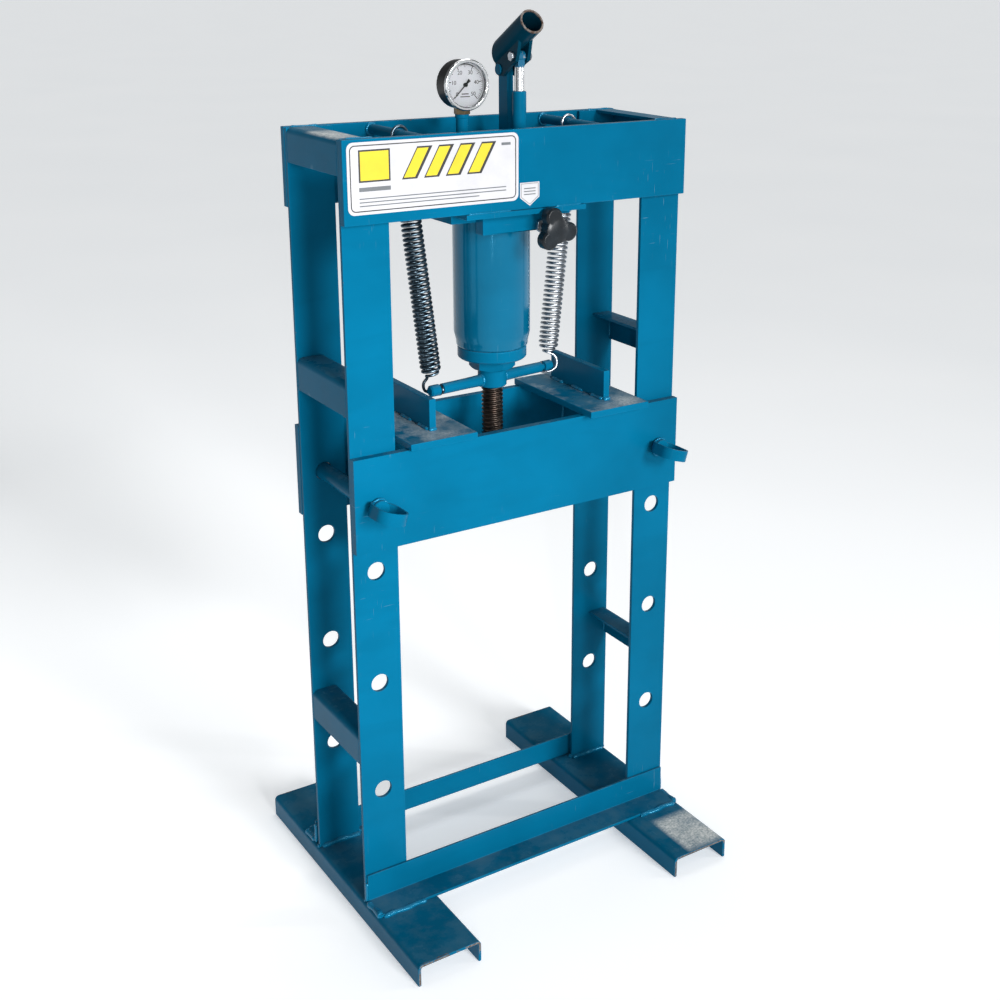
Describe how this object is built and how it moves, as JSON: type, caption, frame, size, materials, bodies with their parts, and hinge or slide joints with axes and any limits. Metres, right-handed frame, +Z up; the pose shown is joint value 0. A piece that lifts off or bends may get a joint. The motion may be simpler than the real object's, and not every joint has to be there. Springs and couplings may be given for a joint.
{
  "type": "hydraulic shop press",
  "caption": "Floor-standing hydraulic shop press with a welded H-frame, hand-pumped ram, return springs, adjusting screw, pinned bed and press plates.",
  "frame": {"origin": "on the floor at the middle of the press's footprint", "axes": "+Z up, -Y out of the front, +X to the right as seen from the front"},
  "size_m": [0.618, 0.562, 1.4593],
  "materials": {
    "blue_paint": "glossy enamel with chips and scuffs",
    "dark_blue_paint": "glossy enamel, worn",
    "white_face": "printed film",
    "seal_rubber": "matte",
    "spring_steel_dark": "blued wire",
    "spring_steel_zinc": "zinc plated wire",
    "zinc_steel": "zinc plated",
    "black_plastic": "moulded",
    "dark_brass": "tarnished",
    "black_paint": "satin",
    "clear_glass": "clear",
    "chrome": "polished",
    "bare_steel": "oiled and browned"
  },
  "bodies": {
    "frame": {"leg_front_left": "blue_paint", "leg_rear_left": "blue_paint", "leg_front_right": "blue_paint", "leg_rear_right": "blue_paint", "foot_left": "blue_paint", "foot_right": "blue_paint", "head_angle_left": "blue_paint", "head_angle_right": "blue_paint", "side_angle_upper_left": "blue_paint", "side_angle_upper_right": "blue_paint", "side_angle_lower_left": "blue_paint", "side_angle_lower_right": "blue_paint", "spring_rod_left": "blue_paint", "spring_rod_right": "blue_paint", "base_angle_front": "blue_paint", "base_angle_rear": "blue_paint", "head_plate_front": "blue_paint", "head_plate_rear": "blue_paint", "head_label": "white_face", "mount_plate": "blue_paint", "cylinder_top_plate": "blue_paint", "cylinder_barrel": "blue_paint", "cylinder_gland": "blue_paint", "wiper_seal": "seal_rubber", "return_spring_left": "spring_steel_dark", "return_spring_right": "spring_steel_zinc", "valve_block": "blue_paint", "valve_gland_nut": "zinc_steel", "gauge_riser": "blue_paint", "gauge_stem": "dark_brass", "gauge_case": "black_paint", "gauge_dial": "white_face", "gauge_lens": "clear_glass", "gauge_bezel": "chrome", "pump_tube": "blue_paint", "fulcrum_post": "blue_paint", "fulcrum_pin": "blue_paint", "bed_plate_front": "blue_paint", "bed_plate_rear": "blue_paint", "bed_spacer_left": "blue_paint", "bed_spacer_right": "blue_paint"},
    "ram": {"piston": "bare_steel", "piston_seal": "seal_rubber", "ram": "blue_paint", "spring_crossbar": "blue_paint"},
    "screw": {"adjusting_screw": "bare_steel", "screw_nose": "bare_steel"},
    "valve_knob": {"release_valve_stem": "zinc_steel", "release_knob": "black_plastic"},
    "gauge_pointer": {"gauge_needle": "black_paint"},
    "plunger": {"pump_plunger": "chrome", "plunger_bolt": "zinc_steel"},
    "lever": {"pump_lever": "dark_blue_paint"},
    "pin_left": {"bed_pin_left": "blue_paint"},
    "pin_right": {"bed_pin_right": "blue_paint"},
    "plate_left": {"press_plate_base_left": "blue_paint", "press_plate_rib_left": "blue_paint"},
    "plate_right": {"press_plate_base_right": "blue_paint", "press_plate_rib_right": "blue_paint"}
  },
  "joints": [
    {"name": "ram_slide", "type": "slide", "parent": "frame", "child": "ram", "axis": [0, 0, -1], "range_m": [0, 0.034], "stiffness_N_per_m": 3000, "springref_m": -0.06, "deforming": ["return_spring_left", "return_spring_right"]},
    {"name": "screw_feed", "type": "slide", "parent": "ram", "child": "screw", "axis": [0, 0, -1], "range_m": [0, 0.1]},
    {"name": "pump_lever_swing", "type": "hinge", "parent": "frame", "child": "lever", "pos_m": [0.047, 0.03, 1.366], "axis": [1, 0, 0], "range_deg": [0, 30]},
    {"name": "plunger_slide", "type": "slide", "parent": "frame", "child": "plunger", "axis": [0, 0, -1], "range_m": [0, 0.0229]},
    {"name": "release_knob_turn", "type": "hinge", "parent": "frame", "child": "valve_knob", "pos_m": [0.04, -0.128, 1.134], "axis": [0, -1, 0], "range_deg": [0, 540]},
    {"name": "gauge_needle_turn", "type": "hinge", "parent": "frame", "child": "gauge_pointer", "pos_m": [-0.058, -0.024, 1.349], "axis": [0, 1, 0], "range_deg": [0, 270]},
    {"name": "bed_pin_left_slide", "type": "slide", "parent": "frame", "child": "pin_left", "axis": [0, -1, 0], "range_m": [0, 0.235]},
    {"name": "bed_pin_right_slide", "type": "slide", "parent": "frame", "child": "pin_right", "axis": [0, -1, 0], "range_m": [0, 0.235]},
    {"name": "press_plate_left_slide", "type": "slide", "parent": "frame", "child": "plate_left", "axis": [1, 0, 0], "range_m": [-0.014, 0.004]},
    {"name": "press_plate_right_slide", "type": "slide", "parent": "frame", "child": "plate_right", "axis": [1, 0, 0], "range_m": [-0.026, 0]}
  ],
  "couplings": [
    {"joint": "plunger_slide", "follows": "pump_lever_swing", "m_per_rad": 0.0436}
  ]
}
